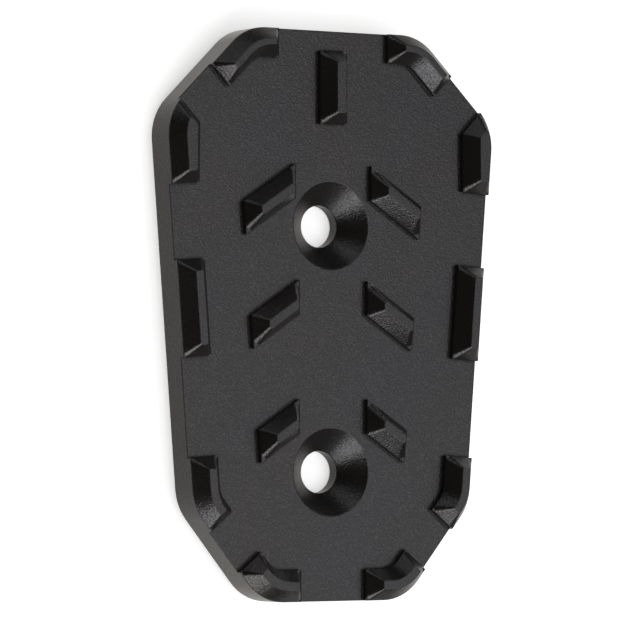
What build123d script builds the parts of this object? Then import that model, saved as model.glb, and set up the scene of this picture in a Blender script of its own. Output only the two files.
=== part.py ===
from build123d import *
import math
import os

os.makedirs("parts", exist_ok=True)

# Outline of the pad, seen from the tread: eight straight sides, the same left and right of the Y axis.
# The widths are taken at the corners before they are rounded.
length = 74.2
top_width = 26.6
shoulder_width = 50.2
shoulder_rise = 25.4
hip_width = 42.3
hip_drop = 24.7
bottom_width = 22.0
corner_radius = 7.0

# Thickness of the pad and the broken edge round its back
pad_thickness = 5.0
back_chamfer = 1.3

# Lugs: an upright foot with sharp corners, then a crown whose sides lean in up to a narrow flat top.
# The corners of a crown are rounded, less and less on the way up. On a small flat top a rounding takes no
# more than a share of the shortest side.
lug_height = 2.8
foot_height = 0.7
lug_width = 4.1
top_lug_width = 3.8
edge_lug_lean = 1.47
inner_lug_lean = 1.34
crown_base_radius = 0.75
crown_top_radius = 0.35
tip_share = 0.4

# How far each edge lug runs on past the rounding of its outline corner, along the side before it and the
# side after it, counted down the right hand side of the pad. Below zero, it ends on the rounding.
top_lug_reach = (2.0, 4.4)
shoulder_lug_reach = (-0.45, 5.75)
hip_lug_reach = (4.0, 1.95)
bottom_lug_reach = (1.8, 2.7)
side_lug_length = 12.4
side_lug_middle = 0.5

# Upright bar under the top edge
bar_length = 9.5
bar_middle = 29.7

# Six slanted lugs in three rows, rising towards the middle of the pad
slant_angle = 33.0
slant_width = 3.8
slant_pitch = 14.7
slant_first_foot = 10.25
slant_side_inset = 10.55
slant_span = (7.5, 6.95, 5.8)

# Two countersunk screw holes on the long axis
hole_diameter = 5.5
countersink_diameter = 11.5
countersink_angle = 90.0
hole_pitch = 32.1
hole_middle = -4.3
hole_back_chamfer = 0.3

# Outline corners of the right half, from the top edge down to the bottom edge
top_corner = Vector(top_width / 2, length / 2)
shoulder_corner = Vector(shoulder_width / 2, shoulder_rise)
hip_corner = Vector(hip_width / 2, -hip_drop)
bottom_corner = Vector(bottom_width / 2, -length / 2)
right_corners = [top_corner, shoulder_corner, hip_corner, bottom_corner]

beyond_edge = 2 * corner_radius
least_corner_turn = 20.0


def mirrored(point):
    return Vector(-point.X, point.Y)


def inward(direction):
    """Square to a side of the outline that is walked clockwise, pointing into the pad."""
    return Vector(direction.Y, -direction.X)


def inset_corner(before, corner, after, width):
    """Meeting point of the two sides at a corner once both are moved in by the lug width."""
    into = (corner - before).normalized()
    out = (after - corner).normalized()
    half_turn = math.radians(into.get_angle(out)) / 2
    bisector = (inward(into) + inward(out)).normalized()
    return corner + bisector * (width / math.cos(half_turn))


def edge_lug(before, corner, after, reach, width):
    """Ends of a lug that wraps one corner: outer and inner point at each end, square to the sides."""
    into = (corner - before).normalized()
    out = (after - corner).normalized()
    rounding = corner_radius * math.tan(math.radians(into.get_angle(out)) / 2)
    first = corner - into * (rounding + reach[0])
    last = corner + out * (rounding + reach[1])
    first_inner = first + inward(into) * width
    last_inner = last + inward(out) * width
    bisector = (inward(into) + inward(out)).normalized()
    outside = [last - inward(out) * beyond_edge, corner - bisector * beyond_edge,
               first - inward(into) * beyond_edge]
    return first, last, first_inner, last_inner, outside


def corners(faces):
    """Corners of flat faces, without the points where an arc runs smoothly into its neighbour."""
    found = []
    for face in faces:
        edges = face.outer_wire().order_edges()
        for edge, following in zip(edges, edges[1:] + edges[:1]):
            if (edge % 1).get_angle(following % 0) > least_corner_turn:
                found.append(face.vertices().sort_by_distance(edge @ 1)[0])
    return found


# Lugs of the right half: corner points, the bend of the inner side with its radius, and the lean of the crown
lugs = []

# Corner lugs whose inner side follows the bend of the outline
for before, corner, after, reach, width in (
    (mirrored(top_corner), top_corner, shoulder_corner, top_lug_reach, top_lug_width),
    (shoulder_corner, hip_corner, bottom_corner, hip_lug_reach, lug_width),
    (hip_corner, bottom_corner, mirrored(bottom_corner), bottom_lug_reach, lug_width),
):
    first, last, first_inner, last_inner, outside = edge_lug(before, corner, after, reach, width)
    bend = inset_corner(before, corner, after, width)
    lugs.append(([first_inner, bend, last_inner] + outside, corner_radius - width, edge_lug_lean))

# Shoulder lug, cut straight on its inner side
first, last, first_inner, last_inner, outside = edge_lug(
    top_corner, shoulder_corner, hip_corner, shoulder_lug_reach, lug_width
)
lugs.append(([first_inner, last_inner] + outside, None, edge_lug_lean))

# Side lug, halfway down the long side
down = (hip_corner - shoulder_corner).normalized()
side_middle = shoulder_corner + down * ((side_lug_middle - shoulder_rise) / down.Y)
side_ends = [side_middle - down * (side_lug_length / 2), side_middle + down * (side_lug_length / 2)]
side_inner = [end + inward(down) * lug_width for end in side_ends]
side_outer = [end - inward(down) * beyond_edge for end in side_ends]
lugs.append(([side_inner[0], side_inner[1], side_outer[1], side_outer[0]], None, edge_lug_lean))

# Slanted lugs: the outer end runs along the side of the pad, the inner end is upright
slant_rise = math.tan(math.radians(slant_angle))
slant_gap = slant_width / math.cos(math.radians(slant_angle))
for row, span in enumerate(slant_span):
    foot_y = slant_first_foot - row * slant_pitch
    on_side = shoulder_corner + down * ((foot_y - shoulder_rise) / down.Y)
    outer_low = Vector(on_side.X - slant_side_inset / abs(down.Y), foot_y)
    inner_low = outer_low + Vector(-span, span * slant_rise)
    inner_high = inner_low + Vector(0, slant_gap)
    side_lean = down.X / down.Y
    climb = slant_gap / (1 + side_lean * slant_rise)
    outer_high = outer_low + Vector(side_lean * climb, climb)
    lugs.append(([outer_low, inner_low, inner_high, outer_high], None, inner_lug_lean))

# Upright bar on the long axis
bar_top = Vector(lug_width / 2, bar_middle + bar_length / 2)
bar_foot = Vector(lug_width / 2, bar_middle - bar_length / 2)
lugs.append(([bar_foot, bar_top, mirrored(bar_top), mirrored(bar_foot)], None, inner_lug_lean))

with BuildPart() as pedal_pad:
    # Pad body
    with BuildSketch() as outline:
        with BuildLine():
            Polyline(*right_corners, *[mirrored(corner) for corner in reversed(right_corners)], close=True)
        make_face()
        fillet(outline.vertices(), corner_radius)
    extrude(amount=pad_thickness)
    chamfer(pedal_pad.faces().sort_by(Axis.Z)[0].edges(), back_chamfer)

    for points, bend_radius, lean in lugs:
        # Foot, flush with the outline where it stands on the edge
        with BuildSketch(Plane.XY.offset(pad_thickness)) as foot:
            with BuildLine():
                Polyline(*points, close=True)
            make_face()
            if bend_radius:
                fillet(foot.vertices().sort_by_distance(points[1])[0], bend_radius)
            mirror(about=Plane.YZ)
            add(outline.sketch_local, mode=Mode.INTERSECT)
        extrude(amount=foot_height)

        # Left and right crown
        with BuildSketch(Plane.XY.offset(pad_thickness + foot_height), mode=Mode.PRIVATE) as crown_base:
            add(foot.sketch_local)
            fillet(corners(crown_base.faces()), crown_base_radius)
        with BuildSketch(Plane.XY.offset(pad_thickness + lug_height), mode=Mode.PRIVATE) as crown_top:
            with BuildLine():
                Polyline(*points, close=True)
            make_face()
            offset(amount=-lean, kind=Kind.INTERSECTION, mode=Mode.REPLACE)
            if bend_radius:
                fillet(crown_top.vertices().sort_by_distance(points[1])[0], bend_radius + lean)
            mirror(about=Plane.YZ)
            add(offset(outline.sketch_local, amount=-lean, mode=Mode.PRIVATE), mode=Mode.INTERSECT)
            shortest_side = min(edge.length for edge in crown_top.edges())
            fillet(corners(crown_top.faces()), min(crown_top_radius, shortest_side * tip_share))
        bases = crown_base.sketch.faces().sort_by(Axis.X)
        tops = crown_top.sketch.faces().sort_by(Axis.X)
        for base, top in zip(bases, tops):
            loft([base, top], ruled=True)

    # Countersunk screw holes, cut from the tread, with a small chamfer at the back
    with Locations(Plane.XY.offset(pad_thickness)):
        with Locations((0, hole_middle + hole_pitch / 2), (0, hole_middle - hole_pitch / 2)):
            CounterSinkHole(
                radius=hole_diameter / 2,
                counter_sink_radius=countersink_diameter / 2,
                depth=pad_thickness,
                counter_sink_angle=countersink_angle,
            )
    back_face = pedal_pad.faces().sort_by(Axis.Z)[0]
    chamfer([wire.edges()[0] for wire in back_face.inner_wires()], hole_back_chamfer)

pedal_pad.part.label = "pedal_pad"
export_step(pedal_pad.part, "parts/pedal_pad.step")
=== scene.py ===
import math

import bpy
from mathutils import Matrix, Vector

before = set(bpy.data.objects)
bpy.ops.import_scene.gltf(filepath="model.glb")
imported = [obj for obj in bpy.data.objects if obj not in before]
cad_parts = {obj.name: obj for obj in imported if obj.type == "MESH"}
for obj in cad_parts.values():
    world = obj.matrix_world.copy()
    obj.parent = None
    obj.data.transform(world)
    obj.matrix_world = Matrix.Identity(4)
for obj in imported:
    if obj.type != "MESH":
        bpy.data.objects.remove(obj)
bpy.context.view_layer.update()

# One millimetre, in metres
MM = 0.001

# Camera, in the part's frame
CAMERA_PLACE = Vector((-310.6, -17.1, 495.1)) * MM
CAMERA_TARGET = Vector((-1.7, -0.57, 5.0)) * MM
CAMERA_LENS = 250.8
SENSOR_WIDTH = 36.0

# Lights: the way each lies from the pad, how far off, how wide and high, how bright its face is and its tint
NEUTRAL = (1.0, 1.0, 1.0)
WARM = (1.0, 0.985, 0.96)
LIGHTS = {
    "overhead_softbox": {
        "toward": (0.3, -0.38, 0.87), "away": 1.1,
        "wide": 1.6, "high": 1.7, "bright": 1.44, "tint": NEUTRAL,
    },
    "front_softbox": {
        "toward": (-0.425, -0.872, 0.242), "away": 1.2,
        "wide": 0.78, "high": 0.6, "bright": 5.3, "tint": WARM,
    },
    "front_high": {
        "toward": (-0.52, -0.62, 0.588), "away": 1.2,
        "wide": 0.25, "high": 0.34, "bright": 5.5, "tint": WARM,
    },
    "rear_high": {
        "toward": (0.0, 0.75, 0.65), "away": 1.2,
        "wide": 0.8, "high": 0.5, "bright": 1.6, "tint": WARM,
    },
    "rear_low": {
        "toward": (-0.43, 0.88, 0.2), "away": 1.2,
        "wide": 0.8, "high": 0.5, "bright": 1.0, "tint": WARM,
    },
    "right_strip": {
        "toward": (0.75, 0.62, 0.15), "away": 1.2,
        "wide": 0.7, "high": 0.35, "bright": 3.6, "tint": NEUTRAL,
    },
}
WORLD_FILL = 0.01

# Noises of the anodised skin: the width of their lumps and their detail
GRAIN = (0.26 * MM, 2.0)
CLOUD = (3.0 * MM, 3.0)
HUE = (9.0 * MM, 1.0)

# Skin: its colour, its roughness over the cloud noise, and two tints with their places on the hue noise
SKIN_COLOUR = (0.0078, 0.0067, 0.0058, 1)
SKIN_IOR = 1.5
SKIN_ROUGHNESS = (0.26, 0.34)
TINTS = ((0.965, 0.925, 0.94, 1), (0.915, 0.925, 1.0, 1))
TINT_STOPS = (0.35, 0.65)

# Specular level from the low grains to the high ones, and painted shade: the share of it kept from the
# creases to the open faces
GRAIN_SHINE = (0.48, 0.86)
GRAIN_HEIGHTS = (0.48, 0.8)
CREASE_SHADE_SHARE = (0.2, 1.0)
CREASE_SHADE_OPENNESS = (0.4, 0.9)
CREASE_SHADE_REACH = 0.6 * MM

# Relief of the grain, and the softening of sharp edges
RELIEF_STRENGTH = 0.62
RELIEF_HEIGHT = 0.08 * MM
EDGE_RADIUS = 0.25 * MM
PROBE_SAMPLES = 8

# Floor, and how bright it shows by itself to the camera
FLOOR_SIZE = 6.0
FLOOR_COLOUR = (0.95, 0.95, 0.95, 1)
FLOOR_SEEN = 0.52

# How bright it shows in the pad's walls: pale, with a painted reflection that is brighter towards the two
# ends of the pad and fades out past it
FLOOR_MIRRORED = (0.67, 1.0)
FLOOR_BRIGHTENS = (18 * MM, 37 * MM)
FLOOR_FADES = (41 * MM, 60 * MM)
FLOOR_TINT = (1.0, 0.965, 0.92, 1)


def new_material(name):
    """An empty node material: its nodes, its links and the socket of its surface."""
    material = bpy.data.materials.new(name)
    material.use_nodes = True
    tree = material.node_tree
    tree.nodes.clear()
    output = tree.nodes.new("ShaderNodeOutputMaterial")
    return material, tree.nodes, tree.links, output.inputs["Surface"]


def noise(nodes, links, place, size, detail):
    """Noise whose lumps are about as wide as size, in metres."""
    texture = nodes.new("ShaderNodeTexNoise")
    texture.inputs["Scale"].default_value = 1 / size
    texture.inputs["Detail"].default_value = detail
    links.new(place, texture.inputs["Vector"])
    return texture.outputs["Fac"]


def spread(nodes, links, value, low, high, start=0.0, stop=1.0):
    """A value that runs from start to stop, moved to run from low to high."""
    reach = nodes.new("ShaderNodeMapRange")
    reach.inputs["From Min"].default_value = start
    reach.inputs["From Max"].default_value = stop
    reach.inputs["To Min"].default_value = low
    reach.inputs["To Max"].default_value = high
    links.new(value, reach.inputs["Value"])
    return reach.outputs["Result"]


def reckon(nodes, links, operation, first, second=None):
    """One step of arithmetic on one or two sockets."""
    step = nodes.new("ShaderNodeMath")
    step.operation = operation
    links.new(first, step.inputs[0])
    if second:
        links.new(second, step.inputs[1])
    return step.outputs["Value"]


def add_tint(nodes, links, shader, hue):
    """The skin shines slightly violet in some places and slightly blue in others."""
    skin = nodes.new("ShaderNodeValToRGB")
    for stop, where, colour in zip(skin.color_ramp.elements, TINT_STOPS, TINTS):
        stop.position = where
        stop.color = colour
    links.new(hue, skin.inputs["Fac"])
    links.new(skin.outputs["Color"], shader.inputs["Specular Tint"])


def add_shine_and_crease_shade(nodes, links, shader, grain):
    """The highest grains are burnished and catch more light, and the creases at the lugs' feet get painted
    shade: ambient occlusion cuts their specular level.
    """
    # Painted shade: ambient occlusion dims the reflection in the creases at the lugs' feet
    crease_occlusion = nodes.new("ShaderNodeAmbientOcclusion")
    crease_occlusion.samples = PROBE_SAMPLES
    crease_occlusion.only_local = True
    crease_occlusion.inputs["Distance"].default_value = CREASE_SHADE_REACH
    shine = spread(nodes, links, grain, *GRAIN_SHINE, *GRAIN_HEIGHTS)
    crease_shade = spread(nodes, links, crease_occlusion.outputs["AO"], *CREASE_SHADE_SHARE, *CREASE_SHADE_OPENNESS)
    links.new(reckon(nodes, links, "MULTIPLY", shine, crease_shade), shader.inputs["Specular IOR Level"])


def add_relief(nodes, links, shader, grain):
    """The grain stands on faces whose sharp edges are slightly rounded."""
    rounding = nodes.new("ShaderNodeBevel")
    rounding.samples = PROBE_SAMPLES
    rounding.inputs["Radius"].default_value = EDGE_RADIUS
    bump = nodes.new("ShaderNodeBump")
    bump.inputs["Strength"].default_value = RELIEF_STRENGTH
    bump.inputs["Distance"].default_value = RELIEF_HEIGHT
    links.new(grain, bump.inputs["Height"])
    links.new(rounding.outputs["Normal"], bump.inputs["Normal"])
    links.new(bump.outputs["Normal"], shader.inputs["Normal"])


def black_anodised_aluminium():
    """Fine bead-blasted aluminium under a black anodised skin, with painted shade in the creases at the
    lugs' feet.
    """
    material, nodes, links, surface = new_material("black_anodised_aluminium")
    shader = nodes.new("ShaderNodeBsdfPrincipled")
    shader.inputs["Base Color"].default_value = SKIN_COLOUR
    shader.inputs["IOR"].default_value = SKIN_IOR
    links.new(shader.outputs["BSDF"], surface)

    place = nodes.new("ShaderNodeTexCoord").outputs["Object"]
    grain = noise(nodes, links, place, *GRAIN)
    cloud = noise(nodes, links, place, *CLOUD)
    hue = noise(nodes, links, place, *HUE)
    links.new(spread(nodes, links, cloud, *SKIN_ROUGHNESS), shader.inputs["Roughness"])
    add_tint(nodes, links, shader, hue)
    add_shine_and_crease_shade(nodes, links, shader, grain)
    add_relief(nodes, links, shader, grain)
    return material


def dress_pad():
    material = black_anodised_aluminium()
    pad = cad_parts["pedal_pad"]
    pad.data.materials.clear()
    pad.data.materials.append(material)


def floor_as_seen(nodes, links, camera_ray):
    """White to the camera, apart from the pad's shadow."""
    paint = nodes.new("ShaderNodeBsdfDiffuse")
    paint.inputs["Color"].default_value = FLOOR_COLOUR
    glow = nodes.new("ShaderNodeEmission")
    links.new(spread(nodes, links, camera_ray, 0.0, FLOOR_SEEN), glow.inputs["Strength"])
    both = nodes.new("ShaderNodeAddShader")
    links.new(paint.outputs["BSDF"], both.inputs[0])
    links.new(glow.outputs["Emission"], both.inputs[1])
    return both.outputs["Shader"]


def floor_as_painted_reflection(nodes, links, place):
    """Pale in the pad's walls, as the white floor is, with a painted reflection that brightens towards the
    two ends of the pad and fades out past it; never brighter there than white.
    """
    apart = nodes.new("ShaderNodeSeparateXYZ")
    links.new(place, apart.inputs["Vector"])
    along = reckon(nodes, links, "ABSOLUTE", apart.outputs["Y"])
    away = nodes.new("ShaderNodeVectorMath")
    away.operation = "LENGTH"
    links.new(place, away.inputs[0])
    # Painted reflection: the glow brightens towards the pad's ends and fades out past the pad
    brightening = spread(nodes, links, along, *FLOOR_MIRRORED, *FLOOR_BRIGHTENS)
    fading = spread(nodes, links, away.outputs["Value"], 1.0, 0.0, *FLOOR_FADES)
    glow = nodes.new("ShaderNodeEmission")
    glow.inputs["Color"].default_value = FLOOR_TINT
    links.new(reckon(nodes, links, "MULTIPLY", brightening, fading), glow.inputs["Strength"])
    return glow.outputs["Emission"]


def make_floor():
    """A white floor. To the pad's walls it shows as a painted reflection, brighter towards the pad's ends
    and fading out past it.
    """
    material, nodes, links, surface = new_material("white_floor")
    ray = nodes.new("ShaderNodeLightPath")
    place = nodes.new("ShaderNodeTexCoord").outputs["Object"]
    choice = nodes.new("ShaderNodeMixShader")
    links.new(ray.outputs["Is Glossy Ray"], choice.inputs["Fac"])
    links.new(floor_as_seen(nodes, links, ray.outputs["Is Camera Ray"]), choice.inputs[1])
    links.new(floor_as_painted_reflection(nodes, links, place), choice.inputs[2])
    links.new(choice.outputs["Shader"], surface)

    bpy.ops.mesh.primitive_plane_add(size=FLOOR_SIZE, location=(0, 0, 0))
    floor = bpy.context.object
    floor.name = "floor"
    floor.data.materials.append(material)


def make_world():
    """White where the camera looks past the floor, and a dim fill for everything else."""
    world = bpy.data.worlds.new("studio")
    world.use_nodes = True
    nodes = world.node_tree.nodes
    links = world.node_tree.links
    nodes.clear()
    camera_ray = nodes.new("ShaderNodeLightPath").outputs["Is Camera Ray"]
    background = nodes.new("ShaderNodeBackground")
    background.inputs["Color"].default_value = (1, 1, 1, 1)
    links.new(spread(nodes, links, camera_ray, WORLD_FILL, 1.0), background.inputs["Strength"])
    output = nodes.new("ShaderNodeOutputWorld")
    links.new(background.outputs["Background"], output.inputs["Surface"])
    bpy.context.scene.world = world


def facing(direction, upright):
    """A turn that looks along direction with its top towards upright."""
    right = direction.cross(upright).normalized()
    up = right.cross(direction)
    return Matrix((right, up, -direction)).transposed().to_4x4()


def make_light(name, toward, away, wide, high, bright, tint):
    """A flat soft light. Its face is as bright as given, whatever its size and its distance."""
    lamp = bpy.data.lights.new(name, "AREA")
    lamp.shape = "RECTANGLE"
    lamp.size = wide
    lamp.size_y = high
    lamp.energy = bright * math.pi * wide * high
    lamp.color = tint
    light = bpy.data.objects.new(name, lamp)
    direction = Vector(toward).normalized()
    turn = facing(-direction, upright=Vector((0, 0, 1)))
    light.matrix_world = Matrix.Translation(direction * away) @ turn
    bpy.context.scene.collection.objects.link(light)


def make_camera():
    data = bpy.data.cameras.new("camera")
    data.lens = CAMERA_LENS
    data.sensor_width = SENSOR_WIDTH
    camera = bpy.data.objects.new("camera", data)
    turn = facing((CAMERA_TARGET - CAMERA_PLACE).normalized(), upright=Vector((0, 1, 0)))
    camera.matrix_world = Matrix.Translation(CAMERA_PLACE) @ turn
    bpy.context.scene.collection.objects.link(camera)
    bpy.context.scene.camera = camera


dress_pad()
make_floor()
make_world()
for light_name, light_values in LIGHTS.items():
    make_light(light_name, **light_values)
make_camera()
bpy.context.scene.view_settings.view_transform = "Standard"
